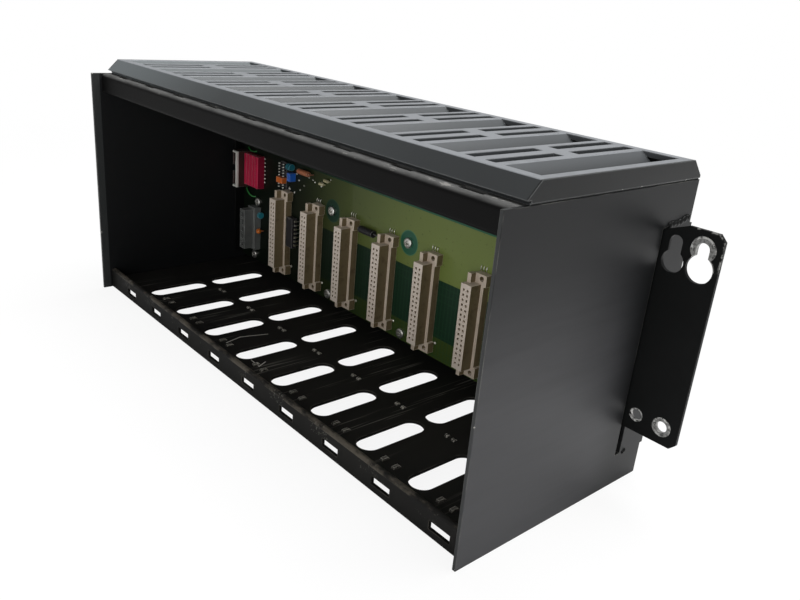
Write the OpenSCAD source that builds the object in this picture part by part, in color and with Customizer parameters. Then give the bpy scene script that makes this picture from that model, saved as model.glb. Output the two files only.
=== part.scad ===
// Card cage: a folded steel box open at the front, with a backplane board of
// eight card connectors at the rear, a moulded louvre cover on top and two
// keyhole ears that stand out through slots in the side panels.
// Millimetres.  X runs left to right as seen from the open front, Y runs from
// the front to the rear, Z is up.  The origin is under the middle of the cage,
// on the face that it stands on.

/* [Cage] */
// Width over the two side panels
cage_w = 313; // [300:1:420]
// Depth of the side panels, front to rear
cage_d = 109.5; // [108:0.5:150]
// Height of the side panels
cage_h = 129; // [126:1:180]
// Thickness of the steel sheet
sheet = 1.5; // [1:0.1:2]
// Distance of the floor and top plate rails behind the front edges
lip_y = 5.4; // [5.4:0.1:6]
// Outer radius of the folds
fold_r = 2.5; // [2.2:0.1:2.8]
// Height of the floor's upper face above the underside of the cage
floor_z = 6.7; // [6.5:0.1:8]
// Height of the ridge of the floor's front rail above the underside
ridge_z = 11.9; // [11.5:0.1:14]
// Height of the top plate's front rail
top_lip_h = 10.5; // [10:0.1:14]
// Height of the hem at the lower edge of the top rail
top_hem_h = 5; // [3:0.1:6]
// Height of the welding flanges at the sides of the top plate
side_flange_h = 9; // [5:0.5:10]
// Length of the rear panel's top and bottom flanges
rear_flange = 9; // [5:0.5:9.5]

/* [Modules] */
// Number of module places
modules = 8; // [6:1:8]
// Free width at each end of the row of module places
end_space = 22.5; // [22:0.5:28]
// Width of each vent slot in the floor and top plate
vent_w = 11.2; // [6:0.1:14]
// Length of each vent slot
vent_l = 35.4; // [20:0.1:37]
// Middle of the front row of vent slots, behind the front edges
vent_y = 31.7; // [30:0.1:34]
// Distance between the two rows of vent slots
vent_row = 40; // [39:0.1:42]
// Length of the hook slots in the two rails
hook_l = 11; // [5:0.5:14]
// Width of the hook slots
hook_h = 3.7; // [2.6:0.1:3.8]
// Height of the middle of the hook slots in the floor's rail
hook_z = 4.8; // [3.4:0.1:4.8]
// Distance of the first hook slot to the left of the first vent slot
hook_shift = 8.8; // [4:0.1:10]
// Distance of the upper rail's hook slots to the left of the floor's
rail_shift = 7; // [0:0.1:8]
// Height of the pressed card guides above the floor
guide_h = 1; // [0.6:0.1:1.4]
// Gap between the two front guides of a pair
guide_gap = 5.6; // [3:0.1:8]
// Gap between the two middle guides of a pair
guide_gap_mid = 2.6; // [2:0.1:5]
// Middle of the front guides, behind the front edges
guide_y = 17.3; // [16:0.1:20]

/* [Ears] */
// How far each ear stands out from its side panel
ear_w = 23.2; // [22:0.1:30]
// Lower edge of the ear
ear_z0 = 28.2; // [20:0.5:32]
// Distance of the ear's upper edge below the top of the side panel
ear_top = 13.6; // [13:0.5:16]
// Distance of the ear's front face from the rear edge of the side panel
ear_back = 17; // [15.5:0.1:19]
// Chamfer on the ear's outer corners
ear_chamfer = 2.5; // [1:0.1:4]
// Length of the bevel at the ear's upper inner corner
ear_bevel_l = 9; // [6:0.1:10]
// Height of the same bevel
ear_bevel_h = 3.6; // [2:0.1:5]
// Length of the ear bracket's leg inside the side panel
ear_leg = 14; // [8:0.5:14.5]
// How far the leg reaches in front of the ear
ear_leg_front = 2; // [1:0.1:4]
// Lower end of the slot that the ear passes through
ear_slot_z = 14.4; // [12:0.1:18]
// Gap round the ear in its slot
ear_gap = 0.3; // [0.2:0.05:0.4]
// Width of the gap in front of the ear in its slot
slot_front = 1.6; // [0.3:0.1:1.8]
// How far the tongue behind the slot stands out from the rear edge
tongue_d = 1.6; // [0.5:0.1:4]
// Distance of the outer keyhole and the round hole from the side panel
hole_x = 15.9; // [15.5:0.1:17]
// Distance of the inner keyhole from the side panel's outer face
inner_key_x = 5.2; // [5:0.1:6]
// Distance of the inner round hole from the side panel's outer face
inner_hole_x = 4.5; // [3:0.1:6]
// Distance of the keyhole's large circle below the ear's upper edge
key_drop = 14.6; // [14:0.1:18]
// Radius of the large circle of the outer keyhole
key_r = 5.3; // [4:0.1:5.5]
// Radius of the narrow end of the outer keyhole
key_neck_r = 2.5; // [2:0.1:3]
// Radius of the large circle of the inner keyhole
key_in_r = 4.4; // [3.5:0.1:4.5]
// Radius of the narrow end of the inner keyhole
key_in_neck_r = 2.6; // [2:0.1:3]
// Distance from the large circle to the narrow end
key_rise = 7.5; // [6:0.1:7.5]
// Height of the round holes
hole_z = 35.5; // [34.5:0.1:38]
// Radius of the round holes
hole_r = 2.35; // [2:0.05:2.6]

/* [Louvre cover] */
// Height of the cover above the side panels
cover_h = 7.6; // [7:0.1:10]
// Distance of the cover's front edge behind the front edges
cover_y = 9.8; // [9.6:0.1:12]
// Size of the 45 degree bevels at the front and rear
cover_bevel = 6; // [4:0.1:6.2]
// Depth of the shadow gap under the front edge
shadow_gap = 2; // [1:0.1:3]
// Width of the rim round the grille, inside the bevels
rim_w = 4.3; // [4:0.1:6]
// Thickness of the cover's walls and deck
cover_t = 2; // [1.6:0.1:2.4]
// Number of wide louvre cells
louvres = 9; // [7:1:9]
// Width of each wide cell
louvre_w = 16; // [12:0.1:17]
// Width of each narrow slot between two wide cells
narrow_w = 4.8; // [3:0.1:5.2]
// Width of the rib between the two narrow slots of a pair
narrow_rib = 4.6; // [3:0.1:5]
// Width of the bridge across the middle of the narrow slots
bridge_w = 8.3; // [6:0.1:12]
// Slope of the louvre blades, in degrees
blade_angle = 35; // [25:1:38]
// Horizontal reach of the louvre blades
blade_run = 7; // [5:0.1:7.4]
// Thickness of the louvre blades
blade_t = 1.2; // [1:0.1:1.4]
// Depth of the ribs' strengthening edges below the deck
rib_drop = 1.6; // [1:0.1:2]

/* [Backplane board] */
// Length of the spacers between the board and the rear panel
spacer_l = 10.4; // [9.5:0.1:11]
// Thickness of the board
board_t = 1.6; // [1:0.1:2]
// Gap between the floor and the board's lower edge
board_lift = 3; // [1:0.1:4]
// Height of the board
board_h = 76; // [75.2:0.5:100]
// Gap between the board's left edge and the side panel's outer face
board_left = 5; // [4:0.5:5]
// Gap between the board's right edge and the side panel's outer face
board_right = 7; // [6:0.5:8]

/* [Card connectors] */
// Distance of the sockets to the right of the guides
socket_shift = 1.2; // [0:0.1:2]
// Height of the connector's middle
socket_z = 39.5; // [38.5:0.1:40]
// Contact spacing, along and across
contact_p = 2.54; // [2:0.01:2.6]
// Contacts in each of the two columns
contacts = 16; // [12:1:16]
// Width of the socket block
socket_w = 6.5; // [6:0.1:7]
// Height of the socket block along the contacts
socket_l = 44; // [43:0.1:45]
// Distance of the socket's front face from the board
socket_d = 10.8; // [9:0.1:12]
// Overall length over the fixing lugs
lug_l = 53.4; // [53:0.1:54]
// Distance from the end of a lug to its hole
lug_edge = 2.2; // [2:0.1:2.4]
// Width of the lugs
lug_w = 7.6; // [7:0.1:8]
// Thickness of the lugs and of the connector's base
lug_t = 4.1; // [3:0.1:5]
// Radius of the lug holes
lug_r = 1.35; // [1:0.05:1.5]
// Distance from the socket block's edge to the middle of the lugs
lug_side = 5.5; // [5:0.1:5.6]
// Width of the shoulder beside the socket block
shoulder_w = 1.6; // [1:0.1:2]
// Width of the coding bars at the ends of the connector
code_w = 2.2; // [1.5:0.1:2.4]
// Height of the coding bars in front of the lugs
code_h = 3.4; // [2:0.1:4]
// Width of each square contact hole
contact_w = 1.2; // [0.8:0.1:1.4]
// Depth of the contact holes
contact_d = 6; // [4:0.5:7]

/* [Parts on the board] */
// Left edge of the ribbon header
ribbon_x = 5.6; // [5.4:0.1:6]
// Lower edge of the ribbon header
ribbon_z = 58.6; // [56:0.1:59]
// Width of the ribbon header
ribbon_w = 7.2; // [6:0.1:7.2]
// Length of the ribbon header
ribbon_l = 23.4; // [20:0.1:24]
// Depth of the ribbon header
ribbon_d = 9; // [6:0.5:10]
// Wall of the ribbon header
ribbon_wall = 1.1; // [0.8:0.1:1.4]
// Thickness of the latch in front of the ribbon header
latch_t = 1.4; // [1:0.1:2]
// Left edge of the ribbed block
block_x = 13.4; // [13.4:0.1:14]
// Lower edge of the ribbed block
block_z = 60.6; // [59:0.1:62]
// Width of the ribbed block
block_w = 16.4; // [14:0.1:17]
// Height of the ribbed block
block_l = 20.8; // [18:0.1:22]
// Depth of the ribbed block
block_d = 5; // [4:0.1:6]
// Number of ribs
block_ribs = 5; // [3:1:6]
// Left edge of the power connector
power_x = 18.7; // [17:0.1:20]
// Lower edge of the power connector
power_z = 19.8; // [19.6:0.1:20.5]
// Width of the power connector
power_w = 5.9; // [5:0.1:6.4]
// Height of the power connector
power_l = 26.2; // [24:0.1:27]
// Depth of the power connector
power_d = 11; // [9:0.1:12]
// Depth of the power connector's flange
power_flange = 4.5; // [3:0.1:5]
// Spacing of the pin rows of the small header
pin_p = 1.82; // [1.7:0.01:1.9]
// Spacing of its two columns
pin_cols = 4.6; // [4:0.1:4.8]
// Number of pin rows
pin_rows = 9; // [7:1:9]
// Width of the pins
pin_w = 0.64; // [0.5:0.01:0.8]
// Length of the pins in front of the board
pin_l = 4; // [3.6:0.1:5]
// Thickness of the header's base
pin_base = 1.8; // [1.4:0.1:2]
// Pitch of the chip's legs
leg_p = 2.54; // [2.4:0.01:2.54]
// Number of legs on each side of the chip
legs = 7; // [6:1:7]
// Width of the chip's body
chip_w = 6.4; // [5:0.1:6.4]
// Thickness of the chip's body
chip_t = 3.5; // [3:0.1:4]
// Radius of the power resistor's body
resistor_r = 1.6; // [1.2:0.1:1.8]
// Length of the power resistor's body
resistor_l = 10.2; // [8:0.1:10.4]
// Radius of the rectifier's body
rectifier_r = 2; // [1.6:0.1:2.2]
// Length of the rectifier's body
rectifier_l = 11.4; // [9:0.1:11.6]
// Width of the blue capacitor
blue_w = 3.4; // [3:0.1:3.6]
// Height of the blue capacitor
blue_h = 5; // [4:0.1:5.4]
// Radius of the disc capacitors
disc_r = 2.1; // [1.6:0.1:2.2]
// Left end of the power resistor, from the middle of the first connector
resistor_x = 15.2; // [14.6:0.1:16]
// Height of its middle above the small header's lower edge
resistor_z = 14.6; // [13:0.1:15.4]
// Left face of the upper disc capacitors, from the middle of the first connector
disc_x = 3.1; // [2.8:0.1:3.4]
// Height of their middle above the small header's lower edge
disc_z = 14.8; // [14.4:0.1:15.6]
// Spacing of the upper disc capacitors
disc_p = 2.5; // [2:0.1:2.8]
// Thickness of the disc capacitors
disc_t = 1.5; // [1:0.1:1.8]
// Distance of the lower disc and bead capacitors from the power connector
beside_power = 4.2; // [3.8:0.1:5]
// Height of the bead capacitor above the power connector's lower edge
bead_z = 12.4; // [8:0.1:16]
// Radius of the bead capacitor
bead_r = 1.7; // [1.2:0.1:2]
// Left end of the small resistors, from the middle of the first connector
small_x = 35.2; // [34:0.1:37]
// Height of the first small resistor above the small header's lower edge
small_z = 11.4; // [10:0.1:12]
// Steps to the second small resistor, along the board
small_step_x = 4.7; // [4:0.1:6]
// Steps to the second small resistor, upwards
small_step_z = 2.8; // [2:0.1:3.6]
// Radius of the small resistors
small_r = 0.95; // [0.7:0.05:1.1]
// Length of the small resistors
small_l = 3.2; // [2.6:0.1:3.4]
// Diameter of the leads of the small parts
lead_w = 0.6; // [0.5:0.1:0.7]

/* [Fasteners] */
// Diameter of the spacers behind the board
spacer_d = 6; // [5.8:0.1:7]
// Diameter of the spacer's shank in the rear panel
shank_d = 4.6; // [4:0.1:5]
// Diameter of the screws' shanks
screw_d = 2.9; // [2.5:0.1:3]
// Diameter of the screws' heads
head_d = 5.6; // [5.2:0.1:6]
// Height of the screws' heads
head_h = 1.8; // [1.4:0.1:2.2]
// Height of the lower row of board screws
screw_z = 13.6; // [13:0.1:14]
// Height of the upper row of board screws
screw_top_z = 65; // [64:0.1:70]

/* [Hidden] */

$fn = 48;
eps = 0.01;
fit = 0.1;                       // clearance of a screw or shank in its hole
deck_back = cage_d - sheet;      // front face of the rear panel
rear_low = floor_z - 2 * sheet;  // underside of the rear panel's lower flange
flange_y = lip_y + 8;            // front end of the plates' side flanges
top_under = cage_h - sheet;      // underside of the top plate
pitch = (cage_w - 2 * end_space) / modules;
ear_y = cage_d - ear_back;
ear_z1 = cage_h - ear_top;
slot_l = ear_z1 - ear_bevel_h + ear_gap - ear_slot_z;
key_z = ear_z1 - key_drop;
lug_p = lug_l - 2 * lug_edge;
lug_z = socket_z + lug_l / 2;    // upper end of the connectors
board_z = floor_z + board_lift;
board_rear = deck_back - spacer_l;
board_y = board_rear - board_t;
socket_y = board_y - socket_d;   // front face of the sockets
cover_top = cage_h + cover_h;
cover_skirt = cover_h - cover_bevel;
grille_y0 = cover_y + cover_bevel + rim_w;
grille_y1 = cage_d - cover_bevel - rim_w;
grille_mid = (grille_y0 + grille_y1) / 2;
louvre_p = (cage_w - 2 * rim_w - louvre_w) / (louvres - 1);
blade_drop = blade_run * tan(blade_angle);
blade_tv = blade_t / cos(blade_angle);

// Middle of vent column i, of the card guides of place i and of its socket
function vent_x(i) = end_space + (i + 0.5) * pitch;
function guide_x(i) = vent_x(i) + pitch / 2;
function socket_x(i) = guide_x(i) + socket_shift;
function hook_x(i) = vent_x(0) - hook_shift + i * pitch;
function louvre_x(i) = rim_w + louvre_w / 2 + i * louvre_p;

// Board screws stand between every second pair of connectors and at both ends
screw_columns = [for (i = [2 : 2 : modules - 1]) vent_x(i) - 1.6];
left_screw_x = 20.5;
power_screw_x = left_screw_x + 3.2;
power_screw_z = power_z + power_l + 4.4;
right_screw_x = cage_w - board_right - 5;
board_holes = concat(
    [for (x = screw_columns, z = [screw_z, screw_top_z]) [x, z]],
    [[left_screw_x, screw_z], [power_screw_x, power_screw_z],
     [right_screw_x, screw_z], [right_screw_x, screw_top_z]]);
// The cover's screws come up through the top plate into bosses under its rims
cover_boss_r = 3;
cover_hole_x = [guide_x(0), cage_w - guide_x(0)];
cover_hole_y = [grille_y0 - cover_boss_r, grille_y1 + cover_boss_r];
cover_holes = [for (x = cover_hole_x, y = cover_hole_y) [x, y]];

// Moves a piece from the cage's left front lower corner to the origin
module at_corner() {
    translate([-cage_w / 2, -(cage_d + tongue_d) / 2, 0]) children();
}

// The mirror image of a piece about the middle of the cage's width
module right_hand() {
    translate([cage_w, 0, 0]) mirror([1, 0, 0]) children();
}

// Extrudes an outline drawn in Y and Z along X, from x0 for a length
module along_x(x0, length) {
    translate([x0, 0, 0]) rotate([90, 0, 90]) linear_extrude(length) children();
}

// Extrudes an outline drawn in X and Z along Y, from y0 for a length
module along_y(y0, length) {
    translate([0, y0 + length, 0]) rotate([90, 0, 0])
        linear_extrude(length) children();
}

// A cylinder along Y, pointing to the rear
module rod_y(r, length) {
    rotate([-90, 0, 0]) cylinder(r = r, h = length);
}

// Quarter of a ring of outer radius r, one sheet thick, in the quadrant that
// starts at the given angle
module fold(r, start) {
    rotate(start) intersection() {
        difference() {
            circle(r);
            circle(r - sheet);
        }
        square(r);
    }
}

// Slot with round ends, its length along Y
module obround(w, l) {
    translate([-w / 2, (w - l) / 2]) square([w, l - w]);
    for (s = [-1, 1]) translate([0, s * (l - w) / 2]) circle(d = w);
}

// ---- sheet metal ----------------------------------------------------------

// Section of the floor in Y and Z: the front rail is folded up from the floor
// and back down over itself, so that a ridge stands above the floor
module floor_section(y_end) {
    inside = lip_y + sheet;
    bend_r = fold_r - sheet;
    translate([lip_y, 0]) square([sheet, ridge_z - sheet]);
    translate([inside, ridge_z - sheet]) intersection() {
        circle(sheet);
        translate([-sheet, -eps]) square([2 * sheet, sheet + eps]);
    }
    translate([inside - eps, floor_z + bend_r])
        square([sheet + eps, ridge_z - sheet - floor_z - bend_r + eps]);
    translate([inside + fold_r, floor_z + bend_r]) fold(fold_r, 180);
    translate([inside + fold_r - eps, floor_z - sheet])
        square([y_end - inside - fold_r + eps, sheet]);
}

// Section of the top plate in Y and Z: its front rail is folded down and its
// lower edge back up inside
module top_section(y_end) {
    low = cage_h - top_lip_h;
    translate([lip_y + fold_r, cage_h - fold_r]) fold(fold_r, 90);
    translate([lip_y, low + sheet])
        square([sheet, top_lip_h - sheet - fold_r + eps]);
    translate([lip_y + sheet, low + sheet]) intersection() {
        circle(sheet);
        translate([-sheet, -sheet]) square([2 * sheet, sheet + eps]);
    }
    translate([lip_y + sheet - eps, low + sheet])
        square([sheet + eps, top_hem_h - sheet]);
    translate([lip_y + fold_r - eps, cage_h - sheet])
        square([y_end - lip_y - fold_r + eps, sheet]);
}

// Folded edge of a plate along the left side panel: fold and flange, in X and
// Z, with the plate's upper face at z and the flange's lower edge at z_low
module edge_section(z, z_low) {
    translate([sheet + fold_r, z - fold_r]) fold(fold_r, 90);
    translate([sheet, z_low]) square([sheet, z - fold_r - z_low + eps]);
}

// The two flanges of a plate, behind the front rail
module side_flanges(z, z_low) {
    length = deck_back - flange_y;
    along_y(flange_y, length) edge_section(z, z_low);
    right_hand() along_y(flange_y, length) edge_section(z, z_low);
}

// The vent slots of the floor or the top plate, as a cutter about height z
module vent_cutter(z) {
    for (i = [0 : modules - 1], row = [0, 1])
        translate([vent_x(i), vent_y + row * vent_row, z - 2 * sheet])
            linear_extrude(3 * sheet) obround(vent_w, vent_l);
}

// Side panel with the ear's slot, and a tongue behind it at the rear edge
module side_panel() {
    difference() {
        union() {
            cube([sheet, cage_d, cage_h]);
            translate([0, cage_d - eps, ear_slot_z])
                cube([sheet, tongue_d + eps, slot_l]);
        }
        translate([-1, ear_y - slot_front, ear_slot_z])
            cube([sheet + 2, slot_front + sheet + ear_gap, slot_l]);
    }
}

// Ear bracket: a leg welded inside the side panel and an ear through the slot
module ear_bracket() {
    difference() {
        along_y(ear_y, sheet) polygon([
            [-ear_w + ear_chamfer, ear_z0], [2 * sheet, ear_z0],
            [2 * sheet, ear_z1 - ear_bevel_h], [0, ear_z1 - ear_bevel_h],
            [-ear_bevel_l, ear_z1], [-ear_w + ear_chamfer, ear_z1],
            [-ear_w, ear_z1 - ear_chamfer], [-ear_w, ear_z0 + ear_chamfer]]);
        ear_holes(-hole_x, -hole_x, key_r, key_neck_r);
        ear_holes(-inner_key_x, -inner_hole_x, key_in_r, key_in_neck_r);
    }
    translate([sheet, ear_y - ear_leg_front, ear_slot_z - 2.5])
        cube([sheet, ear_leg, ear_z1 - ear_bevel_h - ear_slot_z + 2.5]);
}

// A keyhole and a round hole below it, cut through the ear
module ear_holes(x_key, x_round, big_r, neck_r) {
    translate([x_key, ear_y - 1, key_z]) {
        rod_y(big_r, sheet + 2);
        translate([0, 0, key_rise]) rod_y(neck_r, sheet + 2);
        translate([-neck_r, 0, 0]) cube([2 * neck_r, sheet + 2, key_rise]);
    }
    translate([x_round, ear_y - 1, hole_z]) rod_y(hole_r, sheet + 2);
}

module left_side_panel() {
    color("#3c3d40") at_corner() side_panel();
}

module right_side_panel() {
    color("#3c3d40") at_corner() right_hand() side_panel();
}

module floor_plate() {
    deck_x = sheet + fold_r;
    color("#2e2e2c") at_corner() {
        difference() {
            union() {
                along_x(deck_x, cage_w - 2 * deck_x)
                    floor_section(cage_d - fold_r);
                along_x(sheet + fit, fold_r - fit) floor_section(flange_y - 1);
                right_hand() along_x(sheet + fit, fold_r - fit)
                    floor_section(flange_y - 1);
                side_flanges(floor_z, 0);
            }
            vent_cutter(floor_z);
            for (i = [0 : modules])
                translate([hook_x(i) - hook_l / 2, lip_y - 1, hook_z - hook_h / 2])
                    cube([hook_l, sheet + 1.1, hook_h]);
        }
        for (i = [0 : modules - 1]) {
            translate([guide_x(i), guide_y, floor_z]) guide_pair(guide_gap, 4.4);
            translate([guide_x(i), vent_y + vent_row / 2, floor_z])
                guide_pair(guide_gap_mid, 2.6);
        }
    }
}

// Two pressed-up card guides with sloped backs, a gap between them
module guide_pair(gap, length) {
    for (s = [-1, 1]) translate([s * (gap + 1.6) / 2, 0, 0])
        along_x(-0.8, 1.6) polygon([[-length / 2, -eps], [length / 2, -eps],
            [length / 2 - 1, guide_h], [-length / 2 + 0.4, guide_h]]);
}

module top_plate() {
    deck_x = sheet + fold_r;
    color("#4a4b4c") at_corner() difference() {
        union() {
            along_x(deck_x, cage_w - 2 * deck_x) top_section(cage_d);
            along_x(sheet + fit, fold_r - fit) top_section(flange_y - 1);
            right_hand() along_x(sheet + fit, fold_r - fit)
                top_section(flange_y - 1);
            side_flanges(cage_h, top_under - side_flange_h);
        }
        vent_cutter(cage_h);
        for (i = [0 : modules])
            translate([hook_x(i) - rail_shift - hook_l / 2, lip_y + fold_r + 0.1,
                       top_under - 1])
                cube([hook_l, hook_h, sheet + 2]);
        for (p = cover_holes) translate([p[0], p[1], top_under - 1])
            cylinder(d = screw_d + 2 * fit, h = sheet + 2);
    }
}

// Rear panel, folded forward above and below, with a hole for each spacer
module rear_panel() {
    wall_x = sheet + fit;
    flange_x = sheet + fold_r;
    color("#2c2d2e") at_corner() difference() {
        union() {
            along_x(wall_x, cage_w - 2 * wall_x) rear_wall();
            along_x(flange_x, cage_w - 2 * flange_x) rear_flanges();
        }
        for (p = board_holes) translate([p[0], deck_back - 1, p[1]])
            rod_y(shank_d / 2 + fit / 2, sheet + 2);
        for (x = cover_hole_x) translate([x, cover_hole_y[1], top_under - sheet - 1])
            cylinder(d = screw_d + 2 * fit, h = sheet + 2);
    }
}

// Sections of the rear panel in Y and Z: the wall, and its folded flanges
// below the floor and under the top plate
module rear_wall() {
    translate([deck_back, rear_low + fold_r - eps])
        square([sheet, top_under - rear_low - 2 * fold_r + 2 * eps]);
}

module rear_flanges() {
    translate([cage_d - fold_r, rear_low + fold_r]) fold(fold_r, 270);
    translate([cage_d - fold_r, top_under - fold_r]) fold(fold_r, 0);
    translate([cage_d - rear_flange, rear_low])
        square([rear_flange - fold_r + eps, sheet]);
    translate([cage_d - rear_flange, top_under - sheet])
        square([rear_flange - fold_r + eps, sheet]);
}

module left_ear_bracket() {
    color("#26272a") at_corner() ear_bracket();
}

module right_ear_bracket() {
    color("#26272a") at_corner() right_hand() ear_bracket();
}

// ---- louvre cover ---------------------------------------------------------

// Outside of the cover in Y and Z: bevels at both ends and a shadow gap below
// the front one
module cover_outline() {
    polygon([[cover_y, cage_h + cover_skirt],
        [cover_y + cover_bevel, cover_top], [cage_d - cover_bevel, cover_top],
        [cage_d, cage_h + cover_skirt], [cage_d, cage_h],
        [cover_y + shadow_gap, cage_h],
        [cover_y + shadow_gap, cage_h + cover_skirt]]);
}

// Hollow of the cover in Y and Z, under the deck
module cover_hollow() {
    y0 = cover_y + shadow_gap + cover_t;
    y1 = cage_d - cover_t;
    low = cage_h + cover_skirt - 0.8;
    deck = cover_top - cover_t;
    polygon([[y0, cage_h - 1], [y0, low], [y0 + deck - low, deck],
        [y1 - deck + low, deck], [y1, low], [y1, cage_h - 1]]);
}

// Louvre blade in X and Z: it starts at a wide cell's left edge, level with
// the ribs, and slopes down under the next rib
module blade_section() {
    polygon([[-eps, cover_top], [blade_run, cover_top - blade_drop],
        [blade_run, cover_top - blade_drop - blade_tv],
        [-eps, cover_top - blade_tv]]);
}

module louvre_cover() {
    gap_x = (louvre_p - louvre_w - narrow_rib) / 2 - narrow_w;
    color("#7d8281") at_corner() {
        difference() {
            union() {
                difference() {
                    along_x(0, cage_w) cover_outline();
                    along_x(cover_t, cage_w - 2 * cover_t) cover_hollow();
                }
                for (i = [0 : louvres - 2])
                    translate([louvre_x(i) + louvre_w / 2, grille_y0 - 1,
                               cover_top - cover_t - rib_drop])
                        cube([louvre_p - louvre_w, grille_y1 - grille_y0 + 2,
                              rib_drop + eps]);
                for (p = cover_holes) translate([p[0], p[1], cage_h])
                    cylinder(r = cover_boss_r, h = cover_h - cover_t + eps);
            }
            for (i = [0 : louvres - 1])
                translate([louvre_x(i) - louvre_w / 2, grille_y0, cage_h - 1])
                    cube([louvre_w, grille_y1 - grille_y0, cover_h + 2]);
            for (i = [0 : louvres - 2], s = [0, 1], half = [0, 1])
                translate([louvre_x(i) + louvre_w / 2 + gap_x
                               + s * (narrow_w + narrow_rib),
                           half ? grille_mid + bridge_w / 2 : grille_y0,
                           cage_h - 1])
                    cube([narrow_w, grille_mid - bridge_w / 2 - grille_y0,
                          cover_h + 2]);
            for (p = cover_holes) translate([p[0], p[1], cage_h - 1])
                cylinder(d = screw_d + 2 * fit, h = cover_h - cover_t);
            for (side = [0, 1])
                translate([side * (cage_w - 0.5) - eps, cover_y - 1, cage_h - eps])
                    cube([0.5 + 2 * eps, cage_d, 0.6]);
        }
        for (i = [0 : louvres - 1]) translate([louvre_x(i) - louvre_w / 2, 0, 0])
            along_y(grille_y0 - eps, grille_y1 - grille_y0 + 2 * eps)
                blade_section();
    }
}

// ---- fasteners ------------------------------------------------------------

// Pan-headed screw along Y: the head's underside is at y = 0
module screw_y(length) {
    rotate([-90, 0, 0]) {
        translate([0, 0, -eps]) cylinder(d = screw_d, h = length);
        translate([0, 0, -head_h]) difference() {
            cylinder(d1 = head_d - 1.2, d2 = head_d, h = head_h);
            for (a = [0, 90]) rotate(a) translate([-1.5, -0.35, -0.1])
                cube([3, 0.7, 0.8]);
        }
    }
}

module board_screws() {
    color("#b9b9b4") at_corner() for (p = board_holes)
        translate([p[0], board_y, p[1]]) screw_y(board_t + 6);
}

// Clinched spacers between the board and the rear panel, bored for the screws
module board_spacers() {
    color("#a8a8a2") at_corner() for (p = board_holes)
        translate([p[0], board_rear, p[1]]) difference() {
            union() {
                rod_y(spacer_d / 2, deck_back - board_rear);
                rod_y(shank_d / 2, cage_d - board_rear);
            }
            translate([0, -1, 0]) rod_y(screw_d / 2 + fit / 2, 8);
        }
}

// Screws that come up into the cover's bosses: the front ones through the top
// plate, the rear ones through the rear panel's flange as well
module cover_screws() {
    color("#9a9a96") at_corner() for (x = cover_hole_x, rear = [0, 1])
        translate([x, cover_hole_y[rear], top_under - rear * sheet])
            rotate([90, 0, 0]) screw_y((1 + rear) * sheet + cover_h - cover_t - 1.6);
}

// ---- backplane board ------------------------------------------------------

module backplane_board() {
    color("#4d6b3c") at_corner() difference() {
        translate([board_left, board_y, board_z])
            cube([cage_w - board_left - board_right, board_t, board_h]);
        for (p = board_holes) translate([p[0], board_y - 1, p[1]])
            rod_y(screw_d / 2 + fit, board_t + 2);
    }
}

// Card connector, its front face on the side away from the board: socket block
// with two columns of square sockets, a wider base, and a lug at each end
module card_connector(i) {
    x0 = socket_x(i) - socket_w / 2;
    base_y = board_y - lug_t;
    end_l = (lug_l - socket_l) / 2 + 1;
    end_z = socket_z + socket_l / 2 - 1;
    color("#b3a491") at_corner() difference() {
        union() {
            translate([x0, socket_y, socket_z - socket_l / 2])
                cube([socket_w, socket_d, socket_l]);
            translate([x0, base_y, socket_z - socket_l / 2])
                cube([socket_w + shoulder_w, lug_t, socket_l]);
            for (s = [-1, 1]) mirror_z(socket_z, s) {
                translate([x0 + lug_side - lug_w / 2, base_y, end_z])
                    cube([lug_w, lug_t, end_l]);
                translate([x0 + 0.4, base_y - code_h, end_z])
                    cube([code_w, code_h + eps, end_l]);
            }
        }
        for (c = [-0.5, 0.5], r = [0 : contacts - 1])
            translate([socket_x(i) + c * contact_p - contact_w / 2, socket_y - 1,
                       socket_z + (r - (contacts - 1) / 2) * contact_p
                           - contact_w / 2])
                cube([contact_w, contact_d + 1, contact_w]);
        for (s = [-1, 1])
            translate([x0 + lug_side + 0.9, base_y - 1, socket_z + s * lug_p / 2])
                rod_y(lug_r, lug_t + 2);
    }
}

// Keeps the upper copy for s = 1 and mirrors it about height z for s = -1
module mirror_z(z, s) {
    translate([0, 0, z]) mirror([0, 0, s < 0 ? 1 : 0])
        translate([0, 0, -z]) children();
}

// ---- parts on the left end of the board -----------------------------------

// A block on the front of the board: left edge, lower edge, width, depth, height
module on_board(x, z, w, d, h) {
    translate([x, board_y - d, z]) cube([w, d, h]);
}

// Shrouded ribbon header, its open side to the front and a notch in its side
module ribbon_header() {
    inner = ribbon_l - 2 * ribbon_wall;
    color("#33251f") at_corner() difference() {
        on_board(ribbon_x, ribbon_z, ribbon_w, ribbon_d, ribbon_l);
        translate([ribbon_x + ribbon_wall, board_y - ribbon_d - 1,
                   ribbon_z + ribbon_wall])
            cube([ribbon_w - 2 * ribbon_wall, ribbon_d - 1, inner]);
        translate([ribbon_x - 1, board_y - ribbon_d - 1,
                   ribbon_z + ribbon_l / 2 - 2.2])
            cube([ribbon_wall + 2, 7, 4.4]);
    }
}

// Pale locking frame in front of the ribbon header's right wall, hooked round
// its two ends
module header_latch() {
    right = ribbon_x + ribbon_w;
    color("#c9c8c2") at_corner() {
        translate([right - latch_t, board_y - ribbon_d - latch_t, ribbon_z])
            cube([latch_t, latch_t, ribbon_l]);
        for (z = [ribbon_z, ribbon_z + ribbon_l - ribbon_wall])
            translate([right - 5, board_y - ribbon_d - latch_t, z])
                cube([5 - latch_t + eps, latch_t, ribbon_wall]);
    }
}

// Red block with upright ribs on its face
module ribbed_block() {
    rib = (block_w + 0.8) / block_ribs;
    color("#8c1234") at_corner() {
        on_board(block_x, block_z, block_w, block_d - 1.4, block_l);
        for (i = [0 : block_ribs - 1])
            translate([block_x + i * rib, board_y - block_d, block_z + 0.3])
                cube([rib - 0.8, 1.4 + eps, block_l - 0.6]);
    }
}

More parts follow.
